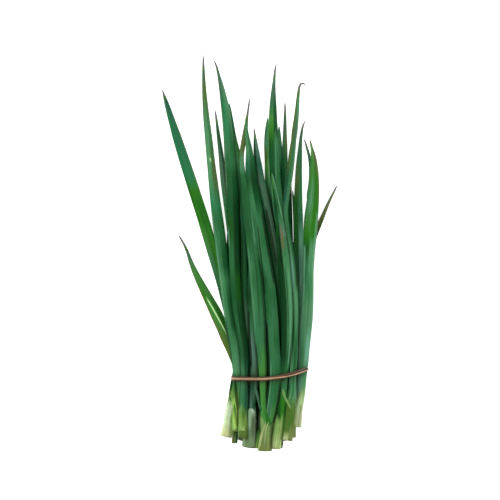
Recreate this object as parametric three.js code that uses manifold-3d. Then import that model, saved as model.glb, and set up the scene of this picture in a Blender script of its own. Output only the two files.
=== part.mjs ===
// A bunch of large-leaved chives lying on a surface: cut shoots, each a sheath with two or three
// long leaves, two loose leaves, and a rubber band wound twice round them near the cut ends.
// Millimetres. +Y runs from the cut ends to the tips, +X across the bunch, +Z up from the surface.
//
// Each leaf has a path that it would follow on its own. The leaves are laid on their paths, then
// weight, stiffness, the band and their neighbours move them until none passes through another.
import * as THREE from "three";
import Module from "manifold-3d";

const wasm = await Module();
wasm.setup();

// ---- Driving dimensions ----
const bandY = 66; // along the bunch, from its lowest cut end to the rubber band
const bandRise = 7; // the band climbs this much towards the right side
const tiedWidth = 66.5; // across the bunch inside the band
const tiedDepth = 31; // through the bunch inside the band
const tiedX = 1; // the tied stretch's middle, across
const boxiness = 2.8; // of the tied outline: 2 is an ellipse, more is fuller at its corners
const cordRadius = 0.75; // of one turn of the rubber band
const flatness = 1.25; // a leaf's width over its thickness
const clearance = 0.35; // between neighbouring shoots
const leafSides = 8;
const tipRadius = 0.45;
const stationStep = 20; // between the cross sections that shape the leaves
const stationCount = 18;
const bandStation = 3; // the cross section inside the band
const freeStation = 10; // from here on the leaves have room to lie where they like
const greens = ["#2f7a48", "#3b8a4b", "#2a6e45", "#46914d"];

// ---- The shoots ----
// cut: [along, across] of the cut end. split: the station where the leaves part.
// run: a leaf's path as [along, across] points from the band to its tip.
// row: 0 lies on the surface, 3 on top. foot: width at the sheath as a share of the full width.
// taper: 1.5 is a long fine point, 4 is a blunt one. ease: how readily its neighbours move it.
const shownShoots = [
  {
    cut: [13, -39.5],
    split: 2,
    sheathWidth: 11.5,
    leaves: [
      {
        width: 11.8, taper: 3.6, row: 2,
        run: [[78, -28], [119, -34], [155, -42], [200, -54], [227, -63], [254, -72], [290, -84],
          [326, -95.5]],
      },
      {
        width: 10.5, taper: 2.4, row: 1, foot: 0.6, ease: 0.5,
        run: [[74, -32], [92, -37], [110, -41.5], [128, -50], [146, -59.5], [164, -68],
          [193, -79.5]],
      },
    ],
  },
  {
    cut: [19, -30],
    split: 2,
    sheathWidth: 10,
    leaves: [
      {
        width: 10, taper: 1.5, row: 3, foot: 0.95,
        run: [[78, -25], [101, -28.5], [119, -33], [155, -40], [200, -45.5], [227, -48.5],
          [254, -51], [281, -54], [308, -57], [335, -59], [357, -58.5]],
      },
      {
        width: 7, taper: 2, row: 0, ease: 3,
        run: [[78, -20], [137, -22], [200, -28], [245, -33]],
      },
    ],
  },
  {
    cut: [13, -22],
    split: 2,
    sheathWidth: 10.5,
    leaves: [
      {
        width: 9.8, taper: 3.2, row: 3,
        run: [[78, -20], [110, -25], [137, -29], [173, -31], [227, -31.5], [272, -33],
          [290, -34.5], [308, -37], [326, -40.5], [349, -47]],
      },
      {
        width: 7, taper: 1.4, row: 1,
        run: [[78, -22], [101, -22], [137, -25], [173, -30], [200, -34], [245, -40],
          [272, -42.5], [306, -47.5]],
      },
    ],
  },
  {
    cut: [4, -15],
    split: 1,
    sheathWidth: 11.5,
    leaves: [
      {
        width: 7.5, taper: 2.5, row: 3,
        run: [[78, -11], [105, -12], [137, -11], [182, -9], [230, -10]],
      },
      {
        width: 6.5, taper: 2, row: 2,
        run: [[78, -16], [110, -18], [146, -19], [200, -21], [262, -24]],
      },
      {
        width: 8.5, taper: 4, row: 1,
        run: [[78, -16], [137, -18], [200, -19], [236, -22], [272, -28], [290, -31.5],
          [314, -34.5]],
      },
    ],
  },
  {
    cut: [1.5, -4],
    split: 1,
    sheathWidth: 11,
    leaves: [
      {
        width: 8.5, taper: 2.2, row: 3,
        run: [[78, -4], [101, -7], [137, -11.5], [173, -14.5], [200, -17.5], [236, -22],
          [258, -25], [272, -24], [290, -20.5], [316, -17.5]],
      },
      {
        width: 12, taper: 2.2, row: 3, foot: 0.95,
        run: [[78, 8], [101, 7], [137, 2], [173, -3], [209, -8], [245, -14], [272, -17.5],
          [300, -20.7]],
      },
      {
        width: 8.5, taper: 3, row: 2,
        run: [[78, 0], [101, -2], [137, -4], [173, -8], [200, -11], [227, -13], [250, -16],
          [272, -17]],
      },
    ],
  },
  {
    cut: [3, 9],
    split: 2,
    sheathWidth: 11,
    leaves: [
      {
        width: 10.5, taper: 2.8, row: 3, foot: 0.55,
        run: [[78, 18], [110, 18], [137, 17], [173, 15], [195, 13], [227, 8.5], [251, 3.5]],
      },
      {
        width: 9.2, taper: 3.3, row: 2,
        run: [[78, 14], [110, 13], [137, 11], [173, 6], [195, 2], [227, -3], [254, -9.3],
          [272, -11.5], [290, -12]],
      },
    ],
  },
  {
    cut: [11, 16],
    split: 2,
    sheathWidth: 10,
    leaves: [
      {
        width: 7.5, taper: 2, row: 3, foot: 0.85,
        run: [[78, 25], [110, 26], [137, 25], [173, 21], [202, 16.5], [227, 16.5], [254, 19],
          [272, 21.5], [290, 24], [308, 26], [332, 28.5]],
      },
      {
        width: 9.8, taper: 3.2, row: 2,
        run: [[78, 21], [101, 22], [137, 20], [191, 13], [236, 7], [272, 3.4], [299, 2.8],
          [326, 3.5], [347, 6.5]],
      },
    ],
  },
  {
    cut: [22, 25],
    split: 2,
    sheathWidth: 10.5,
    leaves: [
      {
        width: 11, taper: 5, row: 3, foot: 0.6,
        run: [[78, 31], [101, 33.3], [128, 34.5], [155, 35], [182, 36], [209, 38.5], [236, 42],
          [254, 43.5], [268, 42.5], [279, 38]],
      },
      {
        width: 5.5, taper: 2.6, row: 1,
        run: [[78, 28], [110, 30], [173, 33], [204, 36], [231, 39], [263, 40], [279, 34.5]],
      },
    ],
  },
  {
    cut: [12, 20],
    split: 2,
    sheathWidth: 9,
    leaves: [
      {
        width: 7, taper: 1.8, row: 0,
        run: [[78, 26], [137, 27], [173, 31], [191, 39], [209, 47.5], [223, 54], [239.5, 62]],
      },
      {
        width: 9, taper: 2.8, row: 2,
        run: [[78, 28], [137, 29], [182, 27], [209, 26], [245, 27], [272, 28.7], [295, 31.6]],
      },
    ],
  },
  {
    cut: [10, 11],
    split: 2,
    sheathWidth: 9,
    leaves: [
      {
        width: 8, taper: 3.4, row: 1,
        run: [[78, 12], [101, 13], [128, 11], [182, 5], [227, -1], [263, -3], [285, -3], [301, 0]],
      },
      {
        width: 7.5, taper: 2.4, row: 1,
        run: [[78, 20], [146, 19], [209, 15], [245, 13.5], [281, 14.2], [311, 15.5]],
      },
    ],
  },
  {
    cut: [9, 3],
    split: 2,
    sheathWidth: 9,
    leaves: [
      {
        width: 8.5, taper: 5, row: 1,
        run: [[78, 14], [137, 16], [200, 13], [245, 9.5], [275, 8], [293, 9.5]],
      },
      {
        width: 7, taper: 2, row: 1,
        run: [[78, 22], [101, 27], [155, 26], [204, 24], [234, 22]],
      },
    ],
  },
];

// The shoots inside and under the bunch follow the fan of the others by rule.
const innerShoots = {
  count: 5,
  leaves: 3,
  width: [6.5, 8.5],
  tip: [195, 258],
  cut: [9, 18],
  span: 15, // of their sheaths, either side of the middle
  fork: 5, // between the feet of one shoot's leaves
};
const looseLeaves = [
  {
    cut: [7, -30], width: 6.5, taper: 2, row: 1,
    run: [[78, -17], [137, -20], [200, -27], [240, -34]],
  },
  {
    cut: [3, 12], width: 6, taper: 2, row: 2,
    run: [[78, 7], [137, 5], [200, 0], [252, -5]],
  },
];

const seededRandom = (seed) => () => {
  seed = (seed + 0x6d2b79f5) | 0;
  let t = Math.imul(seed ^ (seed >>> 15), 1 | seed);
  t = (t + Math.imul(t ^ (t >>> 7), 61 | t)) ^ t;
  return ((t ^ (t >>> 14)) >>> 0) / 2 ** 32;
};
const random = seededRandom(7);
const between = ([low, high]) => low + (high - low) * random();
const mix = THREE.MathUtils.lerp;

function innerShoot(index) {
  const { count, leaves, width, tip, cut, span, fork } = innerShoots;
  const middle = mix(-span, span, index / (count - 1));
  return {
    cut: [between(cut), middle * 1.1],
    split: 2,
    sheathWidth: 9,
    leaves: Array.from({ length: leaves }, (_, k) => {
      const foot = middle + (k - 1) * fork;
      const tipY = between(tip);
      // leaves fan out from the band and lean a little to the left, as the bunch does
      const lean = (0.5 * foot - 10 + between([-4, 4])) / (tip[1] - bandY);
      const across = (y) => foot + (y - bandY) * lean;
      return {
        width: between(width), taper: 2.5, row: k % 2, ease: 4,
        run: [bandY + 12, tipY].map((y) => [y, across(y)]),
      };
    }),
  };
}

// ---- Strands: a sheath or a leaf as a centre and a half width at every station ----
const stationY = (j) => bandY + (j - bandStation) * stationStep;
const rowHeight = 9; // between the rows before they settle

// How far across a run of points is at y. It carries on straight past its last point.
function along(points, y) {
  if (y <= points[0][0]) return points[0][1];
  const found = points.findIndex((p) => p[0] > y);
  const after = found < 0 ? points.length - 1 : found;
  const [y0, x0] = points[after - 1];
  const [y1, x1] = points[after];
  return mix(x0, x1, (y - y0) / (y1 - y0));
}

// A leaf widens from its foot, stays broad past its middle and runs out to a point.
function leafShape(t, foot, taper) {
  const widest = 0.45;
  if (t < widest) return foot + (1 - foot) * Math.sin((Math.PI / 2) * (t / widest));
  return 1 - ((t - widest) / (1 - widest)) ** taper;
}

function makeStrand(shoot, first, last, target, halfWidth, row) {
  const strand = { shoot, first, last, ease: 1, target: [], x: [], z: [], r: [] };
  for (let j = first; j <= last; j++) {
    strand.target[j] = target(stationY(j));
    strand.x[j] = strand.target[j];
    strand.r[j] = halfWidth(stationY(j));
    strand.z[j] = (row + 0.5) * rowHeight;
  }
  return strand;
}

function leafStrand(shoot, leaf, base) {
  const [tipY] = leaf.run.at(-1);
  const points = [base, ...leaf.run];
  // the last station has no ring of its own: it steers the tip, which ends near it
  const last = Math.ceil((tipY - 5 - stationY(0)) / stationStep);
  const { foot = 0.66, taper } = leaf;
  const halfWidth = (y) => {
    const share = THREE.MathUtils.clamp((y - base[0]) / (tipY - base[0]), 0, 1);
    return Math.max(tipRadius, (leaf.width / 2) * leafShape(share, foot, taper));
  };
  const first = Math.max(0, shoot.split);
  const strand = makeStrand(shoot, first, last, (y) => along(points, y), halfWidth, leaf.row);
  strand.r[last] = tipRadius;
  strand.tipY = tipY;
  strand.ease = leaf.ease ?? 1;
  return strand;
}

function sheathStrand(shoot) {
  const feet = shoot.leaves.map((leaf) => leaf.run[0][1]);
  const top = feet.reduce((a, b) => a + b) / feet.length;
  const points = [shoot.cut, [78, top]];
  const rows = shoot.leaves.reduce((sum, leaf) => sum + leaf.row, 0) / shoot.leaves.length;
  const halfWidth = (y) => (shoot.sheathWidth / 2) * mix(1, 0.86, y / 50);
  const strand = makeStrand(shoot, 0, shoot.split, (y) => along(points, y), halfWidth, rows);
  strand.ease = shoot.leaves[0].ease ?? 0.6;
  return strand;
}

// ---- Laying the strands on each other ----
const polygonReach = Math.cos(Math.PI / leafSides); // of the flat sides of a leaf's section
const halfHeight = (r) => (r / flatness) * polygonReach;
const tiedMiddle = tiedDepth / 2 + 2 * cordRadius + 1.5 * clearance;

function sameShoot(a, b, j) {
  return a.shoot === b.shoot && j <= a.shoot.split;
}

// Where two strands meet, at share t of the way from station j to the next: how far they are
// apart, with the thickness stretched so that their sections are circles, and their half widths.
function meeting(a, b, j, next, t) {
  const dx = mix(b.x[j], b.x[next], t) - mix(a.x[j], a.x[next], t);
  const dz = flatness * (mix(b.z[j], b.z[next], t) - mix(a.z[j], a.z[next], t));
  const halfWidths = mix(a.r[j] + b.r[j], a.r[next] + b.r[next], t);
  return { dx, dz, apart: Math.hypot(dx, dz) || 1e-6, halfWidths };
}

function eachMeeting(strands, visit) {
  for (let j = 0; j < stationCount; j++)
    for (const t of [0, 0.25, 0.5, 0.75]) {
      const next = t > 0 ? j + 1 : j;
      const here = strands.filter((s) => s.first <= j && s.last >= next);
      here.forEach((a, i) => {
        for (const b of here.slice(i + 1))
          if (!sameShoot(a, b, j)) visit(a, b, [...new Set([j, next])], meeting(a, b, j, next, t));
      });
    }
}

function separate(a, b, stations, { dx, dz, apart, halfWidths }) {
  const push = (halfWidths + clearance - apart) / apart / (a.ease + b.ease);
  if (push <= 0) return;
  for (const k of stations) {
    a.x[k] -= dx * push * a.ease;
    b.x[k] += dx * push * b.ease;
    a.z[k] -= ((dz * push) / flatness) * a.ease;
    b.z[k] += ((dz * push) / flatness) * b.ease;
  }
}

// Keeps a strand inside the oval that the rubber band leaves, and above the surface.
function contain(strand) {
  for (let j = strand.first; j <= strand.last; j++) {
    const away = Math.abs(j - bandStation);
    if (away <= 1) {
      const wide = tiedWidth / 2 + away * 3 - strand.r[j];
      const deep = tiedDepth / 2 + away * 2 - halfHeight(strand.r[j]);
      const dz = strand.z[j] - tiedMiddle;
      const dx = strand.x[j] - tiedX;
      const spread = Math.abs(dx / wide) ** boxiness + Math.abs(dz / deep) ** boxiness;
      const out = spread ** (1 / boxiness);
      if (out > 1) {
        strand.x[j] = tiedX + dx / out;
        strand.z[j] = tiedMiddle + dz / out;
      }
    }
    strand.z[j] = Math.max(strand.z[j], halfHeight(strand.r[j]));
  }
}

// Ties the feet of a shoot's leaves into the top of its sheath.
function tieFeet(sheath, leaves) {
  const j = sheath.last;
  const reach = sheath.r[j] * 0.55;
  const middle = (key) => leaves.reduce((sum, leaf) => sum + leaf[key][j], 0) / leaves.length;
  sheath.x[j] = mix(sheath.x[j], middle("x"), 0.5);
  sheath.z[j] = mix(sheath.z[j], middle("z"), 0.5);
  for (const leaf of leaves) {
    const dx = leaf.x[j] - sheath.x[j];
    const dz = leaf.z[j] - sheath.z[j];
    const pull = Math.min(1, reach / (Math.hypot(dx, dz * flatness) || 1e-6));
    leaf.x[j] = sheath.x[j] + dx * pull;
    leaf.z[j] = sheath.z[j] + dz * pull;
  }
  // the bend at the fork is eased through sheath and leaf alike
  for (const key of ["x", "z"]) {
    const above = leaves.reduce((sum, leaf) => sum + leaf[key][j + 1], 0) / leaves.length;
    sheath[key][j] = mix(sheath[key][j], (sheath[key][j - 1] + above) / 2, 0.3);
    for (const leaf of leaves)
      leaf[key][j] = mix(leaf[key][j], (sheath[key][j - 1] + leaf[key][j + 1]) / 2, 0.3);
  }
}

// One sweep of bending stiffness, of the pull towards the strand's own path, and of weight.
function relax(strand, follow, drop) {
  for (const key of ["x", "z"]) {
    const line = strand[key];
    const bent = line.slice();
    for (let j = strand.first + 1; j < strand.last; j++)
      line[j] = mix(bent[j], (bent[j - 1] + bent[j + 1]) / 2, j < freeStation ? 0.15 : 0.08);
  }
  for (let j = strand.first; j <= strand.last; j++) {
    const pull = (j < freeStation ? follow : 2 * follow) / strand.ease;
    strand.x[j] = mix(strand.x[j], strand.target[j], Math.min(pull, 0.5));
    strand.z[j] -= drop;
  }
}

// The pulls weaken for the last sweeps, so that the neighbours have the last word.
function settle(strands, ties) {
  const sweeps = 900;
  for (let sweep = 0; sweep < sweeps; sweep++) {
    const strength = sweep < 0.85 * sweeps ? 1 : 0.1;
    for (const strand of strands) relax(strand, 0.15 * strength, 0.06 * strength);
    for (const { sheath, leaves } of ties) tieFeet(sheath, leaves);
    eachMeeting(strands, separate);
    for (const strand of strands) contain(strand);
  }
}

// Strands that are still too close are squeezed thinner where they meet, and what almost
// touches the surface rests on it.
function squeeze(strands) {
  const scale = new Map(strands.map((s) => [s, s.r.map(() => 1)]));
  eachMeeting(strands, (a, b, stations, { apart, halfWidths }) => {
    const room = (apart - clearance) / halfWidths;
    for (const s of [a, b])
      for (const k of stations) scale.get(s)[k] = Math.min(scale.get(s)[k], room);
  });
  for (const s of strands)
    for (let j = s.first; j <= s.last; j++) {
      const rests = s.z[j] < halfHeight(s.r[j]) + 0.5;
      s.r[j] *= scale.get(s)[j];
      if (rests) s.z[j] = halfHeight(s.r[j]);
    }
}

// ---- Solids ----
// A closed tube through rings of points, each ring with the same number of sides.
function loft(rings, closed = false) {
  const sides = rings[0].length;
  const index = [];
  const joints = closed ? rings.length : rings.length - 1;
  for (let i = 0; i < joints; i++) {
    const here = i * sides;
    const there = ((i + 1) % rings.length) * sides;
    for (let k = 0; k < sides; k++) {
      const n = (k + 1) % sides;
      index.push(here + k, here + n, there + n, here + k, there + n, there + k);
    }
  }
  if (!closed) {
    const end = (rings.length - 1) * sides;
    for (let k = 1; k < sides - 1; k++) index.push(0, k + 1, k, end, end + k, end + k + 1);
  }
  const geometry = new THREE.BufferGeometry();
  geometry.setAttribute("position", new THREE.Float32BufferAttribute(rings.flat(2), 3));
  geometry.setIndex(index);
  return geometry;
}

// One section of a strand, with flat sides below and above.
function section(x, y, z, r) {
  return Array.from({ length: leafSides }, (_, k) => {
    const turn = ((k + 0.5) / leafSides) * 2 * Math.PI;
    return [x + r * Math.cos(turn), y, z - (r / flatness) * Math.sin(turn)];
  });
}

// A strand's centre and half width at any y, carried on straight past its stations.
function strandAt(strand, y) {
  const j = THREE.MathUtils.clamp(
    Math.floor((y - stationY(0)) / stationStep), strand.first, strand.last - 1);
  const t = (y - stationY(j)) / stationStep;
  const at = (key) => mix(strand[key][j], strand[key][j + 1], t);
  return [at("x"), at("z"), at("r")];
}

function strandRings(strand, bottomY) {
  const rings = [];
  const last = strand.tipY ? strand.last - 1 : strand.last;
  for (let j = strand.first; j <= last; j++) {
    if (stationY(j) > bottomY + 4)
      rings.push(section(strand.x[j], stationY(j), strand.z[j], strand.r[j]));
  }
  return rings;
}

// A sheath closes in round the feet of its leaves just past the fork.
function sheathSolid({ shoot, sheath, leaves }) {
  const [cutY] = shoot.cut;
  const [x, z, r] = strandAt(sheath, cutY);
  const topY = stationY(sheath.last) + 5;
  const feet = leaves.map((leaf) => strandAt(leaf, topY));
  const middle = (axis) => feet.reduce((sum, foot) => sum + foot[axis], 0) / feet.length;
  return loft([
    section(x, cutY, Math.max(z, halfHeight(r)), r),
    ...strandRings(sheath, cutY),
    section(middle(0), topY, middle(1), sheath.r[sheath.last] * 0.5),
  ]);
}

// A leaf grows out of the middle of its sheath, and a loose one begins at its own cut.
function leafSolid(leaf, sheath) {
  const bottomY = sheath ? stationY(sheath.last) - stationStep * 0.6 : leaf.shoot.cut[0];
  const [x, z, r] = strandAt(sheath ?? leaf, bottomY);
  const footRadius = sheath ? r * 0.5 : r;
  const [tipX, tipZ] = strandAt(leaf, leaf.tipY);
  return loft([
    section(x, bottomY, Math.max(z, halfHeight(footRadius)), footRadius),
    ...strandRings(leaf, bottomY),
    section(tipX, leaf.tipY, Math.max(tipZ, halfHeight(tipRadius)), tipRadius),
  ]);
}

function toSolid(geometry) {
  const vertProperties = new Float32Array(geometry.attributes.position.array);
  const triVerts = new Uint32Array(geometry.index.array);
  return new wasm.Manifold(new wasm.Mesh({ numProp: 3, vertProperties, triVerts }));
}

function toGeometry(solid) {
  const { vertProperties, triVerts } = solid.getMesh();
  const geometry = new THREE.BufferGeometry();
  geometry.setAttribute("position", new THREE.BufferAttribute(vertProperties, 3));
  geometry.setIndex(new THREE.BufferAttribute(triVerts, 1));
  return geometry;
}

function fuse(geometries) {
  return toGeometry(geometries.map(toSolid).reduce((a, b) => a.add(b)));
}

// ---- The rubber band ----
// It wraps the outline of what it ties, twice, and its turns cross at the lower right.
function rubberBand(strands) {
  const steps = 96;
  const crossing = -0.5; // radians round from +X
  const cordY = (x) => bandY + bandRise * Math.max(0, (x + 5) / (tiedWidth / 2 + 5)) ** 2;
  const tied = strands.filter((s) => s.first < bandStation && s.last > bandStation);
  const supports = Array.from({ length: 90 }, (_, k) => {
    const turn = (k / 90) * 2 * Math.PI;
    const [nx, nz] = [Math.cos(turn), Math.sin(turn)];
    const reach = tied.map((s) => {
      const y = cordY(strandAt(s, bandY)[0]);
      const reaches = [-4, 0, 4].map((up) => {
        const [x, z, r] = strandAt(s, y + up);
        return nx * x + nz * (z - tiedMiddle) + Math.hypot(nx * r, (nz * r) / flatness);
      });
      return Math.max(...reaches);
    });
    return [turn, Math.max(...reach) + cordRadius + 1.5 * clearance];
  });
  const outline = (turn) =>
    Math.min(...supports.map(([at, reach]) => {
      const facing = Math.cos(at - turn);
      return facing > 0.2 ? reach / facing : Infinity;
    }));
  const centre = (i) => {
    const u = (2 * i) / steps; // 0 to 2 turns
    const turn = crossing + Math.PI + u * 2 * Math.PI;
    const side = Math.tanh(3 * Math.cos(Math.PI * u)) / Math.tanh(3);
    const lift = 2.3 * cordRadius * Math.exp(-(((u - 0.5) / 0.16) ** 2));
    const spread = cordRadius * (1.2 + 1.2 * Math.exp(-(((Math.sin(turn / 2 + 0.05)) / 0.35) ** 2)));
    const out = outline(turn) + lift;
    const x = out * Math.cos(turn);
    const z = Math.max(tiedMiddle + out * Math.sin(turn), cordRadius);
    return new THREE.Vector3(x, cordY(x) + side * spread, z);
  };
  const rings = Array.from({ length: steps }, (_, i) => {
    const here = centre(i);
    const forward = centre(i + 1).sub(centre(i - 1)).normalize();
    const up = new THREE.Vector3(0, 1, 0).addScaledVector(forward, -forward.y).normalize();
    const outward = new THREE.Vector3().crossVectors(forward, up);
    return Array.from({ length: 6 }, (_, k) => {
      const turn = (k / 6) * 2 * Math.PI;
      return here.clone()
        .addScaledVector(up, cordRadius * Math.cos(turn))
        .addScaledVector(outward, cordRadius * Math.sin(turn))
        .toArray();
    });
  });
  return loft(rings, true);
}

// ---- The bunch ----
const shoots = [...shownShoots, ...Array.from({ length: innerShoots.count }, (_, i) => innerShoot(i))];
const ties = shoots.map((shoot) => {
  const sheath = sheathStrand(shoot);
  const forkY = stationY(shoot.split);
  const base = [forkY, along([shoot.cut, shoot.leaves[0].run[0]], forkY)];
  const leaves = shoot.leaves.map((leaf) => leafStrand(shoot, leaf, base));
  return { shoot, sheath, leaves };
});
const loose = looseLeaves.map((leaf) => leafStrand({ ...leaf, split: -1 }, leaf, leaf.cut));
const strands = [...ties.flatMap((tie) => [tie.sheath, ...tie.leaves]), ...loose];
settle(strands, ties);
squeeze(strands);

const bunch = new THREE.Group();

function addPiece(name, geometry, color, roughness) {
  geometry.computeVertexNormals();
  const material = new THREE.MeshStandardMaterial({ color, roughness, metalness: 0, flatShading: true });
  const mesh = new THREE.Mesh(geometry, material);
  mesh.name = name;
  bunch.add(mesh);
}

ties.forEach((tie, i) => {
  const parts = [sheathSolid(tie), ...tie.leaves.map((leaf) => leafSolid(leaf, tie.sheath))];
  addPiece(`shoot_${String(i + 1).padStart(2, "0")}`, fuse(parts), greens[i % greens.length], 0.45);
});
loose.forEach((leaf, i) => addPiece(`loose_leaf_${i + 1}`, leafSolid(leaf), greens[i], 0.45));
addPiece("rubber_band", rubberBand(strands), "#c9764a", 0.6);

// the origin is under the middle of the bunch, on the surface
const box = new THREE.Box3().setFromObject(bunch);
bunch.position.set(-(box.min.x + box.max.x) / 2, -(box.min.y + box.max.y) / 2, -box.min.z);

export default bunch;
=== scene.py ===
import itertools
import math
import random

import bmesh
import bpy
import numpy as np
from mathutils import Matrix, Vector
from mathutils.bvhtree import BVHTree


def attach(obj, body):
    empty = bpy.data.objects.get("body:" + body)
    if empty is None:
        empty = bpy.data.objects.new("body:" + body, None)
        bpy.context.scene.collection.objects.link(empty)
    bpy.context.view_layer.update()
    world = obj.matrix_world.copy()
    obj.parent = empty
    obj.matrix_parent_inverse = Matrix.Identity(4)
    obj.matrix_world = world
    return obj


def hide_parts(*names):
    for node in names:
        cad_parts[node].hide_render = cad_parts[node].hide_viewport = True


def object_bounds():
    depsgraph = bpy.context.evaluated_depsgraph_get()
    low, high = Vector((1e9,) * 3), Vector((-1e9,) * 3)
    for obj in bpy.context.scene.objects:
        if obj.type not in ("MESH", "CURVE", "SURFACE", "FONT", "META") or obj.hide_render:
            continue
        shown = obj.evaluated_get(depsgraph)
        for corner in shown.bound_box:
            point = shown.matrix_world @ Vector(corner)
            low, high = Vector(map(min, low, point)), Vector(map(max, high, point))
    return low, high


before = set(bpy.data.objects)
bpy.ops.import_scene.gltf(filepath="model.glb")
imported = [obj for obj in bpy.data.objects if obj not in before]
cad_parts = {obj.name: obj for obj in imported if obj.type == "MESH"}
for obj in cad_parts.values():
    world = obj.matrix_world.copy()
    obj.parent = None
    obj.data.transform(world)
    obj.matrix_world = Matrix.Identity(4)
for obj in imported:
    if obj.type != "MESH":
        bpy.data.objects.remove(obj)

cadLow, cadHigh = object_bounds()
random.seed(11)
mm = 0.001
bunch = {
    "footY": min(vert.co.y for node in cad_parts.values() for vert in node.data.vertices),
    "sectionCorners": 8,    # of a leaf's section in the frame
    "flatness": 1.25,       # a leaf's width over its thickness there
    "forkUp": 44.5,         # mm from the lowest cut end to where the leaves part
    "lowForks": {"shoot_04": 24.5, "shoot_05": 24.5},
    "tieZ": (cadLow + cadHigh).z / 2,
}
bunch["cornerReach"] = math.cos(math.pi / bunch["sectionCorners"])
tie = [vert.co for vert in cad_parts["rubber_band"].data.vertices if vert.co.z > bunch["tieZ"]]
bunch["tieLine"] = np.polyfit([spot.x for spot in tie], [spot.y for spot in tie], 3)


def srgb(code):
    channels = [int(code[i:i + 2], 16) / 255 for i in (0, 2, 4)]
    return [c / 12.92 if c <= 0.04045 else ((c + 0.055) / 1.055) ** 2.4 for c in channels] + [1]


def palette(**codes):
    return {name: srgb(code) for name, code in codes.items()}


def mix(a, b, t):
    return a + (b - a) * t


def smooth(low, high, value):
    t = np.clip((value - low) / (high - low), 0, 1)
    return t * t * (3 - 2 * t)


# shader maths: a socket that adds Math nodes when it is used in an expression
class Wire:
    def __init__(self, tree, socket):
        self.tree = tree
        self.socket = socket

    def math(self, operation, *values):
        node = self.tree.nodes.new("ShaderNodeMath")
        node.operation = operation
        for slot, value in zip(node.inputs, values):
            plug(self.tree, slot, value)
        return Wire(self.tree, node.outputs[0])

    def __add__(self, other):
        return self.math("ADD", self, other)

    def __radd__(self, other):
        return self.math("ADD", other, self)

    def __sub__(self, other):
        return self.math("SUBTRACT", self, other)

    def __rsub__(self, other):
        return self.math("SUBTRACT", other, self)

    def __mul__(self, other):
        return self.math("MULTIPLY", self, other)

    def __rmul__(self, other):
        return self.math("MULTIPLY", other, self)

    def absolute(self):
        return self.math("ABSOLUTE", self)

    def sine(self):
        return self.math("SINE", self)

    def ramp(self, low, high):      # 0 below low, 1 above high
        node = self.tree.nodes.new("ShaderNodeMapRange")
        node.interpolation_type = "SMOOTHSTEP"
        for slot, value in zip(node.inputs, (self, low, high)):
            plug(self.tree, slot, value)
        return Wire(self.tree, node.outputs[0])


def plug(tree, slot, value):
    if isinstance(value, Wire):
        tree.links.new(value.socket, slot)
    else:
        slot.default_value = value


class Finish:
    def __init__(self, name):
        self.material = bpy.data.materials.new(name)
        self.material.use_nodes = True
        self.tree = self.material.node_tree
        self.tree.nodes.clear()

    def add(self, kind, settings=None, sockets=None, output=0):
        node = self.tree.nodes.new("ShaderNode" + kind)
        for key, value in (settings or {}).items():
            setattr(node, key, value)
        for key, value in (sockets or {}).items():
            plug(self.tree, node.inputs[key], value)
        return Wire(self.tree, node.outputs[output])

    def blend(self, share, first, second):      # of two colours
        return self.add("Mix", {"data_type": "RGBA"}, {0: share, 6: first, 7: second}, 2)

    def parts(self, wire, kind="SeparateColor"):
        node = self.add(kind, None, {0: wire}).socket.node
        return [Wire(self.tree, output) for output in node.outputs]

    def surface(self, sockets):
        shader = self.add("BsdfPrincipled", None, sockets)
        plug(self.tree, self.tree.nodes.new("ShaderNodeOutputMaterial").inputs["Surface"], shader)
        return self.material


# tie: the brown of the painted shadow beside the band; bloom: the leaf's waxy bloom, also used for painted
# light; gleam: a painted highlight
leafColors = palette(tie="3a2a14", deep="04300f", bloom="588c69", gleam="a9d692", olive="4c6628",
                     gray="66696a", tan="75593a", rust="664a2c", blemish="62583a")
lineNames = [f"leafLine{letter}" for letter in "ABCDE"]
veinCount = 6       # to each side of the middle


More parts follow.
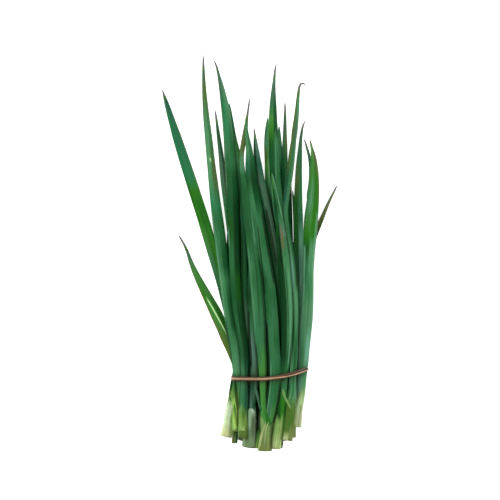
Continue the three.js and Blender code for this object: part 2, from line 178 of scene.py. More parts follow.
def leafSkin():
    finish = Finish("leafSkin")
    place = finish.add("UVMap", {"uv_map": "leafMap"})
    u, along, _ = finish.parts(place, "SeparateXYZ")
    side = u * 2 - 1

    def painted(name):
        node = finish.add("Attribute", {"attribute_name": name}).socket.node
        return [Wire(finish.tree, node.outputs[part]) for part in ("Color", "Alpha")]

    leftTint, grain = painted("leafLeft")
    rightTint, seed = painted("leafRight")
    foot, footShare = painted("leafFoot")
    wear, blemishAndHighlight = painted("leafWear")
    dryness, dryKind, rimLeft = finish.parts(wear)
    bend, crease = painted("leafRims")
    rimRight, ribs, bandShadow = finish.parts(bend)

    def noise(x, y, z, detail):
        spot = finish.add("CombineXYZ", None, {0: x, 1: y, 2: z})
        sockets = {"Vector": spot, "Scale": 1.0, "Detail": detail, "Roughness": 0.6}
        return finish.add("TexNoise", None, sockets) - 0.5

    broad = noise(side * 1.2 + seed * 31, along * 9, seed * 17, 3.0)
    streak = noise(side * 3.4 + seed * 13, along * 5, seed * 40, 3.0)
    fleck = noise(side * 4 + seed * 7, along * 90, seed * 23, 2.0)
    veins = (side * (2 * math.pi * veinCount)).sine()

    # two flanks that meet at the crease, each tinted with the leaf's colour and painted light and shade, so
    # one reads lit and the other shaded
    fold = (side - (crease * 2 - 1) + broad * 0.3).ramp(-0.16, 0.16)
    color = finish.blend(fold, leftTint, rightTint)
    darker = ((streak + broad * 0.6) * -3 - 0.2).ramp(0, 1) * 0.6 * grain
    lighter = ((streak + broad * 0.4) * 3 - 0.3).ramp(0, 1) * 0.45 * grain
    color = finish.blend(lighter, finish.blend(darker, color, leafColors["deep"]), leafColors["bloom"])

    footTint = finish.add("HueSaturation", None, {"Value": 1 + streak * 0.9 + fleck * 0.25, "Color": foot})
    footTint = finish.blend((streak * -2.4 - 0.3).ramp(0, 1) * 0.6, footTint, leafColors["olive"])
    reach = (footShare + (streak * 1.2 + broad * 0.4) * footShare * (1 - footShare) * 4).ramp(0.02, 0.98)
    color = finish.blend(reach, color, footTint)

    # painted shadow of the band: the leaves darker and browner beside it
    color = finish.blend(bandShadow * 0.4, color, leafColors["tie"])
    shade = 1 - bandShadow * 0.4

    # a few painted lines along the leaf: dark ones mostly painted shade in folds and between leaves, pale
    # ones the waxy bloom with painted light, shining ones painted highlights
    for name in lineNames:
        line, strength = painted(name)
        at, wide, kind = finish.parts(line)
        off = (side - (at * 2 - 1) + broad * 0.1).absolute()
        share = ((1 - off.ramp(wide * 0.35, wide)) * strength * (1 + streak * 0.5 + fleck * 0.4)).ramp(0, 1)
        tint = finish.blend((kind * 2 - 1).ramp(0, 1), leafColors["bloom"], leafColors["gleam"])
        pale = kind.ramp(0.2, 0.3)
        color = finish.blend(share * pale, color, tint)
        shade = shade * (1 - share * (1 - pale) * 0.85)

    edge = side.absolute().ramp(0.72, 0.97)
    leftHalf = 1 - side.ramp(-0.01, 0.01)
    rim = (rimLeft * leftHalf + rimRight * (1 - leftHalf)) * edge * (1 + fleck * 1.4)
    color = finish.blend(rim.ramp(0, 1), color, leafColors["rust"])

    brown = (blemishAndHighlight + fleck * 0.35 + streak * 0.5 * (blemishAndHighlight - 0.5).absolute()).ramp(0.56, 0.9)
    color = finish.blend(brown, color, leafColors["blemish"])
    # spots below the middle value: pale painted highlights in the gleam colour
    color = finish.blend(1 - (blemishAndHighlight + streak * 0.2).ramp(0.12, 0.42), color, leafColors["gleam"])

    fading = (dryness + streak * 0.5 * dryness).ramp(0.0, 0.55) * 0.7
    color = finish.blend(fading, color, leafColors["olive"])
    dryTint = finish.blend(dryKind + fleck * 0.4, leafColors["gray"], leafColors["tan"])
    dryShare = (dryness + (streak + fleck) * 0.35 * dryness).ramp(0.4, 0.8)
    color = finish.blend(dryShare, color, dryTint)
    shade = shade * (1 + fleck * 0.25 + streak * 0.5)
    color = finish.add("HueSaturation", None, {"Value": shade, "Color": color})

    relief = finish.add("Bump", None, {
        "Strength": 0.3, "Distance": 0.00025,
        "Height": veins * (0.25 + ribs * 0.5) + streak * 1.2 + fleck * (0.2 + ribs + dryShare)})
    return finish.surface({
        "Base Color": color, "Roughness": 0.5 + dryShare * 0.35 + streak * 0.2, "Normal": relief,
        "Subsurface Weight": 0.05, "Subsurface Radius": (0.5, 1.0, 0.25), "Subsurface Scale": 0.001,
        "Specular IOR Level": 0.09})


# core: the rubber's colour along the middle of each turn; flank: painted shade on the sides of the turns
bandColors = palette(core="b8906f", gold="a98d4c", flank="452b15", grime="8a5a3c")


def bandRubber():
    finish = Finish("bandRubber")
    place = finish.add("TexCoord", None, None, 3)
    grain = finish.add("TexNoise", None, {"Vector": place, "Scale": 900.0, "Detail": 3.0})
    patches = finish.add("TexNoise", None, {"Vector": place, "Scale": 110.0, "Detail": 2.0})
    across = finish.add("Attribute", {"attribute_name": "bandAcross"}, None, "Fac")
    color = finish.blend(patches.ramp(0.45, 0.7) * 0.8, bandColors["core"], bandColors["gold"])
    color = finish.blend(grain.ramp(0.5, 0.8) * 0.6, color, bandColors["grime"])
    # painted shade on the sides of each turn, lighter along its middle
    flank = (across.absolute() + (patches - 0.5) * 0.4).ramp(0.08, 0.45)
    color = finish.blend(flank, color, bandColors["flank"])
    dust = finish.add("Bump", None, {"Strength": 0.25, "Distance": 0.0001, "Height": grain})
    return finish.surface({"Base Color": color, "Roughness": 0.5 + grain * 0.15, "Normal": dust})


def paleFloor():
    finish = Finish("paleFloor")
    place = finish.add("TexCoord", None, None, 3)
    cloud = finish.add("TexNoise", None, {"Vector": place, "Scale": 3.0, "Detail": 2.0})
    color = finish.blend(cloud, srgb("f1f1ef"), srgb("f6f6f5"))
    return finish.surface({"Base Color": color, "Roughness": 0.9, "Emission Color": (1, 1, 1, 1),
                           "Emission Strength": 0.75})


print("finishes ready")


# A section of the frame's solids has eight corners in one plane across the bunch.
def wholeRings(net):
    rings, seen = [], set()
    for corner in net.verts:
        if corner in seen:
            continue
        ring = [corner]
        for vert in ring:
            for edge in vert.link_edges:
                other = edge.other_vert(vert)
                if abs(other.co.y - corner.co.y) < 1e-6 and other not in ring:
                    ring.append(other)
        seen.update(ring)
        if len(ring) == bunch["sectionCorners"]:
            rings.append(ring)
    return rings


# Where a section lies along the bunch, its middle, and half its width.
def sectionFacts(y, spots):
    xs, zs = [spot.x for spot in spots], [spot.z for spot in spots]
    return (y, (min(xs) + max(xs)) / 2, (min(zs) + max(zs)) / 2,
            (max(xs) - min(xs)) / 2 / bunch["cornerReach"])


# The same for all that the solid has at one place along the bunch.
def sliceFacts(net, y):
    spots = []
    for edge in net.edges:
        a, b = (vert.co for vert in edge.verts)
        if (a.y - y) * (b.y - y) <= 0 and abs(a.y - b.y) > 1e-7:
            spots.append(a.lerp(b, (y - a.y) / (b.y - a.y)))
    return sectionFacts(y, spots)


# Follows the sections down from a tip as far as they are joined.
def ringChain(start, rings):
    ringOf = {vert: ring for ring in map(tuple, rings) for vert in ring}
    chain = [tuple(start)]
    while True:
        here = chain[-1]
        joined = {ringOf[edge.other_vert(vert)] for vert in here for edge in vert.link_edges
                  if edge.other_vert(vert) in ringOf}
        lower = [ring for ring in joined if ring[0].co.y < here[0].co.y - 1e-6]
        if not lower:
            return chain
        chain.append(max(lower, key=lambda ring: ring[0].co.y))


def readShoot(nodeName):
    net = bmesh.new()
    net.from_mesh(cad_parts[nodeName].data)
    bmesh.ops.remove_doubles(net, verts=net.verts, dist=1e-6)
    rings = wholeRings(net)
    cut = min(rings, key=lambda ring: ring[0].co.y)
    tips = []
    for ring in rings:
        higher = [edge.other_vert(vert).co.y for vert in ring for edge in vert.link_edges]
        if max(higher) < ring[0].co.y + 1e-6:
            tips.append(ring)
    tips.sort(key=lambda ring: (-round(ring[0].co.y, 5), -ring[0].co.x))
    blades = []
    for tip in tips:
        chain = ringChain(tip, rings)[::-1]
        blades.append(np.array([sectionFacts(ring[0].co.y, [vert.co for vert in ring]) for ring in chain]))
    fork = bunch["footY"] + bunch["lowForks"].get(nodeName, bunch["forkUp"]) * mm
    first = cut[0].co.y
    sheath = np.array([sliceFacts(net, y) for y in np.linspace(first + 1e-6, fork, 4)])
    net.free()
    return blades, sheath


def through(knots, at):
    # a smooth curve through rows of (y, values...), read at other y
    ys, values = knots[:, 0], knots[:, 1:]
    slopes = np.gradient(values, ys, axis=0)
    k = np.clip(np.searchsorted(ys, at) - 1, 0, len(ys) - 2)
    gap = (ys[k + 1] - ys[k])[:, None]
    t = (at[:, None] - ys[k][:, None]) / gap
    return ((2 * t**3 - 3 * t**2 + 1) * values[k] + (t**3 - 2 * t**2 + t) * gap * slopes[k]
            + (3 * t**2 - 2 * t**3) * values[k + 1] + (t**3 - t**2) * gap * slopes[k + 1])


def soften(knots, share):
    eased = knots.copy()
    eased[1:-1, 1:3] = mix(knots[1:-1, 1:3], (knots[:-2, 1:3] + knots[2:, 1:3]) / 2, share)
    return eased


# one leaf drawn out straight: an arched strip with thin edges
leafBlank = {"sides": 28, "rows": 128, "hollow": -0.62, "edge": 0.95}


def deselectAll():
    bpy.ops.object.select_all(action="DESELECT")


def selectWhere(item, kind, test):
    mesh = item.data
    bpy.ops.object.mode_set(mode="EDIT")
    bpy.ops.mesh.select_mode(type=kind)
    bpy.ops.mesh.select_all(action="DESELECT")
    bpy.ops.object.mode_set(mode="OBJECT")
    parts = {"VERT": mesh.vertices, "EDGE": mesh.edges, "FACE": mesh.polygons}[kind]
    for part in parts:
        corners = [part.index] if kind == "VERT" else part.vertices
        part.select = test([mesh.vertices[i].co for i in corners])
    bpy.ops.object.mode_set(mode="EDIT")


def startBlank(name, sides):
    deselectAll()
    bpy.ops.mesh.primitive_circle_add(vertices=sides, fill_type="NGON", rotation=(math.pi / 2, 0, 0))
    blank = bpy.context.object
    blank.name = name
    bpy.ops.object.transform_apply(location=False, rotation=True, scale=False)
    return blank


def cutRows(blank, cuts):
    bpy.ops.object.mode_set(mode="OBJECT")
    selectWhere(blank, "EDGE", lambda points: abs(points[0].y - points[1].y) > 0.5)
    bpy.ops.mesh.subdivide(number_cuts=cuts)
    bpy.ops.mesh.select_all(action="SELECT")
    bpy.ops.mesh.normals_make_consistent(inside=False)
    bpy.ops.object.mode_set(mode="OBJECT")
    bpy.ops.object.shade_smooth()


def makeLeafBlank():
    blank = startBlank("leafBlank", leafBlank["sides"])
    selectWhere(blank, "VERT", lambda points: points[0].z < -0.01)
    bpy.ops.transform.resize(value=(leafBlank["edge"], 1, leafBlank["hollow"]),
                             center_override=(0, 0, 0))
    bpy.ops.mesh.select_all(action="SELECT")
    bpy.ops.mesh.extrude_region_move(TRANSFORM_OT_translate={"value": (0, 1, 0)})
    cutRows(blank, leafBlank["rows"] - 2)
    return blank


# a sheath drawn out straight: a short tube, cut across its layers at the foot
sheathBlank = {"sides": 32, "rows": 14, "wall": 0.12, "throat": 0.55,
               "layers": [(0.13, 0.004), (0.05, 0.02), (0.15, 0.0), (0.05, 0.02), (0.2, 0.0)]}


def makeSheathBlank():
    blank = startBlank("sheathBlank", sheathBlank["sides"])
    bpy.ops.object.mode_set(mode="EDIT")
    bpy.ops.mesh.select_all(action="SELECT")
    bpy.ops.mesh.extrude_region_move(TRANSFORM_OT_translate={"value": (0, 1, 0)})
    # the open top: a thin rim, and a throat going down inside
    bpy.ops.mesh.inset(thickness=sheathBlank["wall"])
    bpy.ops.mesh.extrude_region_move(TRANSFORM_OT_translate={"value": (0, -sheathBlank["throat"], 0)})
    bpy.ops.object.mode_set(mode="OBJECT")
    selectWhere(blank, "FACE", lambda points: all(p.y < 0.01 for p in points))
    for inset, depth in sheathBlank["layers"]:
        bpy.ops.mesh.inset(thickness=inset)
        bpy.ops.transform.translate(value=(0, depth, 0))
    cutRows(blank, sheathBlank["rows"])
    return blank


blankLeaf = makeLeafBlank()
blankSheath = makeSheathBlank()
print("blanks ready")


def read(values, rows):      # values along a path, at broken row numbers
    values = np.asarray(values, float)
    if values.ndim == 1:
        values = values[:, None]
    low = np.clip(rows.astype(int), 0, len(values) - 2)
    share = (rows - low)[:, None]
    return values[low] * (1 - share) + values[low + 1] * share


laying = {"cutRelief": 30 * mm, "slantReach": 12 * mm, "leastArch": 0.05, "floorGap": 0.05 * mm}


# Lays a copy of a blank along a path, with half widths, half depths and rolls at the path's points.
def layAlong(blank, name, path, halfWidth, halfDepth, roll, crease=0.0, keel=(0, 0), slant=0.0):
    piece = blank.copy()
    piece.data = blank.data.copy()
    piece.name = name
    bpy.context.scene.collection.objects.link(piece)
    mesh = piece.data
    own = np.empty(len(mesh.vertices) * 3)
    mesh.vertices.foreach_get("co", own)
    own = own.reshape(-1, 3)
    across, along, height = own[:, 0:1], own[:, 1:2], own[:, 2:3]
    rows = np.clip(along[:, 0], 0, 1) * (len(path) - 1)

    forward = np.gradient(path, axis=0)
    forward /= np.linalg.norm(forward, axis=1)[:, None]
    side = np.cross(forward, (0, 0, 1))
    side /= np.linalg.norm(side, axis=1)[:, None]
    up = np.cross(side, forward)
    # the keel turns the round back into two flanks that meet at the crease
    arch = np.sqrt(np.clip(1 - across**2, 0, 1))
    ridge = np.where(across < crease, (1 + across) / (1 + crease), (1 - across) / (1 - crease))
    flattened = np.clip(ridge, 0, 1) / np.maximum(arch, laying["leastArch"])
    height = height * mix(1, flattened, read(keel, rows))
    turn = read(roll, rows)
    turnedX = across * np.cos(turn) + height * np.sin(turn)
    turnedZ = height * np.cos(turn) - across * np.sin(turn)
    placed = read(path, rows) + read(side, rows) * turnedX * read(halfWidth, rows)
    placed += read(up, rows) * turnedZ * read(halfDepth, rows)
    placed += read(forward, rows) * (along - np.clip(along, 0, 1)) * laying["cutRelief"]
    fromCut = (placed[:, 1] - path[0, 1]) / laying["slantReach"]
    placed[:, 1] += slant * mm * turnedX[:, 0] * np.exp(-fromCut**2)
    placed[:, 2] = np.maximum(placed[:, 2], laying["floorGap"])
    mesh.vertices.foreach_set("co", placed.ravel())
    mesh.update()
    return piece, own, placed


tints = palette(mid="2c643c", green="377245", light="447c52", pale="5a8f72", blue="235d40", jade="236c42",
                lake="1c523e", teal="16482c", dark="154b24", pine="06451d", night="043311",
                vivid="246812", leafy="38742f", forest="0e460e", olive="465e2d", gray="3a5b43",
                slate="4a6e5a", lime="5a9350", bark="5c5636", white="b4c8a2", straw="b4bb84",
                zest="8bb34c", rind="8a9962", fern="688b3e", frost="93ad93", sprout="9ac464",
                moss="4b6428", silver="7f9d7c", ash="667f57", deep="1f5a2e", grass="1a5c10",
                mist="78b093", reed="66844c", husk="6c7a40", pear="74994f", bran="97a96c", kelp="446420",
                snow="a6c18c", cream="aeb88c", dusk="3c5230")

# Tables are rows with commas between them. Places are mm up from the lowest cut, and -1 to 1 across a
# leaf from left to right. tones: place, tint of the left flank and of the right one, if it has another;
# the tints are the leaf's colour with painted light and shade: a lit and a shaded flank, and dark tints
# where a leaf lies in the shade of others. fit: place, shift, width factor. rims: from, to, share at the
# left and right. spots: from, to, across, width, strength; above 0 a brown blemish, below 0 a pale painted
# highlight. lines: the same with a kind, and two places across if they slant. tip: mm across and along,
# beyond the last section. swing and girth: place, and shift or width factor.
plainLeaf = {
    "tones": "0 mid dark", "lines": "", "rims": "", "spots": "", "fit": "", "tip": "", "crease": 0,
    "dry": 0, "dryKind": 0.1, "taper": 0.04, "roll": 0, "twist": 9, "keel": 0.65, "grain": 0.8, "ribs": 0.3}
plainShoot = {"foot": ("moss", "fern"), "footUp": 28, "footSoft": 9, "footV": 0, "footTilt": 0.15,
              "footAt": 0, "swing": "", "girth": "", "slant": 0, "outer": 0}
marking = {"footFade": (2, 20), "cutEdge": (0.4, 2.2), "cutDark": 0.22, "dryReach": (1.9, 0.4), "rimSoft": 8,
           "lineSoft": 5, "tieReach": 3.5}


def numbersOf(table):
    return [[float(word) for word in row.split()] for row in table.split(",") if row]


def tintsOf(table):
    rows = [row.split() for row in table.split(",")]
    return [(float(row[0]), tints[row[1]], tints[row[-1]]) for row in rows]


def curve(rows, column, up, otherwise=0):
    if not rows:
        return np.full(len(up), float(otherwise))
    return np.interp(up, [row[0] for row in rows], [row[column] for row in rows])


def ease(values, span=13):
    wide = np.pad(values, (span // 2, span // 2), mode="edge")
    return np.convolve(wide, np.ones(span) / span, mode="valid")


def paint(mesh, name, *columns):
    values = np.stack([np.broadcast_to(column, len(mesh.vertices)) for column in columns], axis=1)
    attribute = mesh.attributes.new(name, "FLOAT_COLOR", "POINT")
    attribute.data.foreach_set("color", values.astype(np.float32).ravel())


def within(start, end, up, soft):
    return smooth(start - soft, start + soft, up) * (1 - smooth(end - soft, end + soft, up))


def markLooks(piece, own, placed, look, shoot, length, seed, cutUp):
    mesh = piece.data
    facing = 1 if math.cos(math.radians(look["roll"])) > 0 else -1
    across, along = own[:, 0] * facing, own[:, 1]
    up = (placed[:, 1] - bunch["footY"]) / mm
    fromTip = (1 - np.clip(along, 0, 1)) * length / mm
    tones = tintsOf(look["tones"])
    # the flank tints carry the painted light and shade along the leaf
    for name, side, extra in (("leafLeft", 1, look["grain"]), ("leafRight", 2, seed)):
        stations = [(row[0], *row[side]) for row in tones]
        paint(mesh, name, *(curve(stations, i, up, 0) for i in (1, 2, 3)), extra)
    cut, above = (np.array(tints[name]) for name in shoot["foot"])
    fade = smooth(*marking["footFade"], up - cutUp)
    # painted light and shade across the foot: one side lighter, the other darker
    lift = 1 - shoot["footTilt"] * across
    share = smooth(shoot["footUp"] + shoot["footSoft"], shoot["footUp"] - shoot["footSoft"],
                   up - shoot["footV"] * (1 - np.abs(across - shoot["footAt"])))
    paint(mesh, "leafFoot", *(mix(cut[i], above[i], fade) * lift for i in range(3)), share)
    # brown blemishes and darker cut ends raise this, pale painted highlights lower it
    blemishAndHighlight = np.full(len(own), 0.5)
    for start, end, at, wide, strength in numbersOf(look["spots"]):
        middle, reach = (start + end) / 2, (end - start) / 2
        blemishAndHighlight += 0.5 * strength * np.exp(-((across - at) / wide)**2 - np.abs((up - middle) / reach)**3)
    blemishAndHighlight += marking["cutDark"] * (1 - smooth(*marking["cutEdge"], up - cutUp))
    dryFrom, dryTo = (look["dry"] * share for share in marking["dryReach"])
    dryness = smooth(dryFrom, dryTo, fromTip) if look["dry"] else 0 * up
    rims = np.zeros((2, len(own)))
    for start, end, left, right in numbersOf(look["rims"]):
        rims += within(start, end, up, marking["rimSoft"]) * np.array([[left], [right]])
    paint(mesh, "leafWear", dryness, look["dryKind"], rims[0], blemishAndHighlight)
    # painted shadow of the band on the leaves, strongest at the band and gone a few mm from it
    toTie = (placed[:, 1] - np.polyval(bunch["tieLine"], placed[:, 0])) / mm
    bandShadow = np.exp(-(toTie / marking["tieReach"])**2)
    paint(mesh, "leafRims", rims[1], look["ribs"], bandShadow, look["crease"] / 2 + 0.5)
    lines = [row.split() for row in look["lines"].split(",") if row]
    for name, row in itertools.zip_longest(lineNames, lines):
        if row:
            start, end, *at, wide, strength = [float(word) for word in row[:-1]]
            place = np.interp(up, (start, end), (at[0], at[-1]))
            share = strength * within(start, end, up, marking["lineSoft"])
            paint(mesh, name, place / 2 + 0.5, wide, lineKinds[row[-1]], share)
        else:
            paint(mesh, name, 0.5, 0.1, 0, 0)
    corners = np.empty(len(mesh.loops), int)
    mesh.loops.foreach_get("vertex_index", corners)
    while mesh.uv_layers:
        mesh.uv_layers.remove(mesh.uv_layers[0])
    layer = mesh.uv_layers.new(name="leafMap")
    longest = (cadHigh - cadLow).y
    spots = np.stack([across[corners] * 0.5 + 0.5, along[corners] * length / longest], axis=1)
    layer.data.foreach_set("uv", spots.astype(np.float32).ravel())


# dark: painted shade; pale and light: the bloom with painted light; shine: a painted highlight
lineKinds = {"dark": 0, "pale": 0.5, "light": 0.6, "shine": 1}
shoots, leaves = {}, {}
shoots["shoot_01"] = dict(
    foot=("straw", "white"), footUp=42, footSoft=8, footTilt=0.28, outer=1,
    swing="12 0, 22 -0.7, 30 -2.3, 38 -3.5, 45 -3.7, 54 -3.7, 60 -3, 66 -1.5, 75 0")
leaves["shoot_01"] = [dict(
    tones="50 vivid, 100 gray leafy, 150 green leafy, 171 green vivid, 193 leafy vivid, 207 vivid grass, "
          "220 vivid grass, 234 vivid, 247 jade, 300 jade blue, 320 slate teal",
    crease=-0.25, dry=6, rims="225 300 0.1 0.6", lines="140 200 0.85 0.25 0.5 dark",
    fit="60 0 1, 90 2.5 0.85, 120 4.6 0.8, 150 3.4 0.85, 180 1.2 0.92, 198 0.3 0.93, 225 -0.5 0.93, "
        "260 -0.6 0.98, 300 -0.3 1.12, 314 0 1.45, 323 0.1 1.6"
), dict(
    tones="45 fern vivid, 85 kelp forest, 99 kelp vivid, 117 leafy vivid, 139 vivid leafy, 160 leafy, "
          "178 gray",
    roll=180, keel=0.9, dry=12, tip="-1.8 3.2", rims="80 170 0.8 0.3",
    lines="106 136 0.02 -0.32 0.17 1 shine, 60 106 0.5 0.5 0.5 dark",
    fit="60 0 1, 72 -1.2 1, 82 -3.2 1.05, 94 -2.6 1.15, 108 -0.6 1.2, 125 0.3 1.15, 138 0 1, 150 -0.4 0.9, "
        "170 -0.6 0.75, 192 -0.4 1"
)]
shoots["shoot_02"] = dict(foot=("pear", "zest"), footUp=42, footSoft=10, footTilt=0.2)
leaves["shoot_02"] = [dict(
    tones="31 grass kelp, 45 fern leafy, 58 grass light, 72 light, 85 green light, 99 mid green, "
          "112 mid dark, 135 mid dark, 153 green mid, 166 mid pine, 180 mid dark, 193 mid deep, 207 deep, "
          "220 jade, 250 light olive, 290 light green, 325 olive, 342 gray",
    dry=10, rims="233 262 0 0.9, 262 310 0.2 0.35", spots="259 264 -0.15 0.25 -0.8",
    lines="118 215 -0.78 0.28 0.4 pale, 78 116 -0.92 0.3 0.8 dark, 160 186 -0.2 0.1 0.5 dark, "
          "22 66 0.4 -0.6 0.38 0.8 dark",
    fit="100 0 1, 150 0.3 1, 200 0.9 1.08, 225 0.5 1.06, 260 0.2 1.05, 280 0.3 1.2, 300 -0.1 1.3, "
        "320 -0.3 1.5, 345 -0.4 1.6"
), dict(
    tones="0 night", dry=9
)]
shoots["shoot_03"] = dict(
    foot=("moss", "fern"), footUp=33, footSoft=10, slant=-1.5,
    swing="0 -0.5, 40 -0.7, 55 -1.4, 75 -1.2, 95 0", girth="40 0.9, 55 1")
leaves["shoot_03"] = [dict(
    tones="72 mid teal, 85 dark night, 126 dark night, 139 pine forest, 153 dark forest, 166 deep night, "
          "180 deep night, 193 forest night, 207 forest night, 220 pine night, 234 dark pine, 247 dark, "
          "261 deep mid, 274 mid deep, 285 jade mid, 310 jade light, 335 gray slate",
    dry=8, tip="-1.4 2.8, -2.8 5.6", rims="225 330 0.35 0.1",
    lines="50 80 -0.8 0.25 0.3 pale, 26 70 0.9 0.3 0.8 dark, 182 200 -0.88 0.25 0.5 pale, "
          "235 300 -0.85 0.15 0.4 pale",
    fit="180 0 1, 205 0 1.12, 220 -0.3 1.2, 240 -0.7 1.15, 265 -0.8 1.12, 290 -0.1 1.22, 305 0.2 1.35, "
        "320 0.5 1.5, 335 0.5 1.5, 347 0.2 1.2"
), dict(
    tones="225 mid dark, 250 gray, 270 gray dark, 288 teal dark, 300 slate", dry=9, tip="-0.5 1.8, -0.8 3.4",
    fit="190 0 1, 220 -0.3 1.15, 241 -0.4 1.5, 250 -0.2 1.7, 260 0 1.8, 268 0 1.7, 278 -0.1 1.75, "
        "287 -0.1 1.4, 296 0 1.5, 304 0.1 1.7"
)]
shoots["shoot_04"] = dict(
    foot=("ash", "silver"), footUp=36, footSoft=4, footTilt=0.1, outer=2, girth="0 1.25, 20 1", slant=-0.6)
leaves["shoot_04"] = [dict(
    tones="207 night pine, 225 night, 245 dark, 262 mid leafy, 285 forest dark, 300 mid dark, 312 jade mid",
    tip="-0.2 0.8",
    fit="195 0 1, 205 0.3 1.35, 225 0.2 1.35, 245 -0.3 1.15, 262 -0.2 1.2, 272 -0.5 1.05, 285 -0.9 0.95, "
        "300 -0.9 1.35, 313 -0.5 1.9"
), dict(
    tones="99 night, 112 night gray, 126 night gray, 139 night teal, 153 night dark, 171 night dark, "
          "189 night teal, 207 teal dark, 225 dark mid, 245 dark",
    dry=4, rims="95 150 0 0.5"
), dict(
    tones="42 slate teal, 58 teal gray, 72 gray, 85 slate, 99 slate, 112 mid light, 126 dark light, "
          "139 night light, 153 teal light, 189 gray mid, 225 mid dark",
    lines="42 70 -0.2 0.3 0.5 dark, 74 126 -0.92 0.45 0.9 dark",
    fit="30 -1.2 1, 45 -1.6 1.1, 62 -0.4 1.15, 80 0.3 1.1, 100 0 1"
)]
shoots["shoot_05"] = dict(
    foot=("husk", "reed"), footUp=31, footSoft=3, footV=-9, footAt=0.3, footTilt=0,
    swing="0 0.8, 20 1.1, 35 1.6, 60 1.6, 80 0.8, 95 0", girth="0 1.22, 15 1.15, 26 1")
leaves["shoot_05"] = [dict(
    tones="31 leafy grass, 47 leafy, 72 leafy, 85 mid leafy, 99 mid, 126 mid, 139 mid deep, 153 deep, "
          "166 mid deep, 180 deep mid, 193 dark mid, 207 dark deep, 234 dark deep, 247 deep mid, 255 light, "
          "262 light, 272 olive",
    dry=15, taper=0.018, tip="0.2 1.6, 0.1 3.8", spots="263 284 0 0.8 0.4",
    lines="14 96 -0.94 0.32 0.85 dark, 105 184 -0.8 0.25 0.35 pale, 186 232 0.8 0.3 0.7 pale, "
          "110 200 0.1 0.22 0.14 0.5 dark, 0 175 0.9 0.38 0.6 dark",
    fit="30 0 1, 60 0.6 1.1, 81 1 1.2, 112 1.1 1.36, 135 0.9 1.42, 153 1 1.4, 171 1.1 1.27, 189 0.6 1.1, "
        "207 0.5 1.15, 225 0.6 1.2, 240 0 1, 250 -1.1 0.9, 264 -2.3 0.75, 272 -1.6 1.1, 285 -0.1 1.55, "
        "300 0.4 1.7, 310 0.6 1.9"
), dict(
    tones="30 gray leafy, 45 mid deep, 60 deep, 72 mid deep, 85 mid, 99 mid deep, 112 mid, 126 deep mid, "
          "139 deep, 153 dark mid, 166 mid, 189 mid deep, 207 mid, 225 green pine, 243 dark night, "
          "258 blue dark, 270 light mid",
    tip="-0.2 1",
    lines="25 80 -0.55 0.11 0.6 pale, 18 116 -0.92 0.36 0.95 dark, 140 202 -0.75 -0.1 0.16 0.8 dark, "
          "150 215 0.85 0.2 0.8 dark, 18 62 0.85 0.35 0.9 dark",
    fit="30 0.4 1.08, 60 0.9 1.14, 90 0.3 1, 120 0 1, 200 0 1, 212 -0.4 1.12, 238 -1 1.25, 252 -1 1.45, "
        "262 -0.2 1.45, 270 0.4 1.4, 278 -0.2 1.45, 285 -0.4 1.45, 300 0.5 1.5"
), dict(
    tones="150 mid dark, 220 dark, 265 mid"
)]
shoots["shoot_06"] = dict(
    foot=("bran", "pear"), footUp=33, footSoft=6, footV=-6, footTilt=-0.25, outer=1,
    swing="0 -1.9, 14 -1.1, 28 0", girth="0 0.76, 14 0.85, 26 1")
leaves["shoot_06"] = [dict(
    tones="148 night, 160 night dark, 180 night gray, 207 night gray, 225 teal gray, 240 gray, "
          "258 teal lake, 275 teal slate",
    dry=8, tip="-0.3 1.8, -0.4 3.4", lines="165 218 0.1 0.38 0.8 dark",
    fit="235 0 1, 245 -0.5 1.2, 262 -0.2 1.35, 270 -0.2 1.4, 279 0 1.5, 288 0 1.2"
), dict(
    tones="31 night vivid, 45 grass vivid, 58 deep mid, 72 dark deep, 85 night dark, 99 night mid, "
          "112 night green, 171 night green, 189 night mid, 195 forest slate, 207 dark mid, 220 night dark, "
          "234 forest mid, 244 leafy light",
    tip="-0.2 0.8", spots="178 204 0.28 0.3 0.75",
    lines="75 165 0.62 0.22 0.6 pale, 165 206 -0.3 0.16 0.9 dark, 210 244 0.85 0.3 0.6 light, "
          "110 165 0.2 0.14 0.6 dark",
    fit="235 0 1, 248 0 1.5"
)]
shoots["shoot_07"] = dict(foot=("husk", "kelp"), footUp=44, footSoft=10, footTilt=0)
leaves["shoot_07"] = [dict(
    tones="58 green light, 150 dark mid, 234 light mid, 247 night deep, 256 pine mid, 266 pine mid, "
          "277 forest green, 288 vivid pine, 299 leafy dark, 310 mid dark, 325 gray, 338 slate",
    dry=10, tip="0.7 2, 1.2 4.2", spots="281 288 0.25 0.15 0.5", lines="244 290 0.1 0.45 0.16 0.5 pale",
    fit="230 0 1, 260 0.5 1.05, 285 0.9 1.12, 300 0.5 1.22, 315 0.3 1.3, 325 0.1 1.2, 345 0.2 1.1"
), dict(
    tones="58 mid, 72 light deep, 85 mid dark, 99 dark deep, 112 dark green, 126 green light, 139 light, "
          "153 pale mid, 166 pale mid, 180 light dark, 195 light deep, 207 light mid, 225 lake mid, "
          "245 teal mid, 266 olive mid, 288 olive gray, 310 olive light",
    dry=13, dryKind=0.25, tip="0.9 1.3, 2 1.8, 3.6 1.2, 5 0.2, 6.2 -1.4", rims="225 310 0.4 0.5",
    lines="230 320 0.8 0.3 0.4 pale, 62 104 -0.82 0.3 0.9 pale, 145 198 0.82 0.3 0.9 dark",
    fit="185 -0.8 0.8, 197 -2.4 0.7, 207 -3.2 0.65, 217 -3.1 0.65, 225 -2.4 0.73, 240 -0.8 0.95, "
        "250 -0.2 1.15, 270 0.3 1.25, 300 0.5 1.2, 333 0.3 1"
)]
shoots["shoot_08"] = dict(
    foot=("cream", "snow"), footUp=48, footSoft=14, footTilt=0.1,
    swing="20 -0.6, 35 -0.7, 45 0.1, 58 0.8, 66 1, 76 0.8, 88 0.2, 96 0")
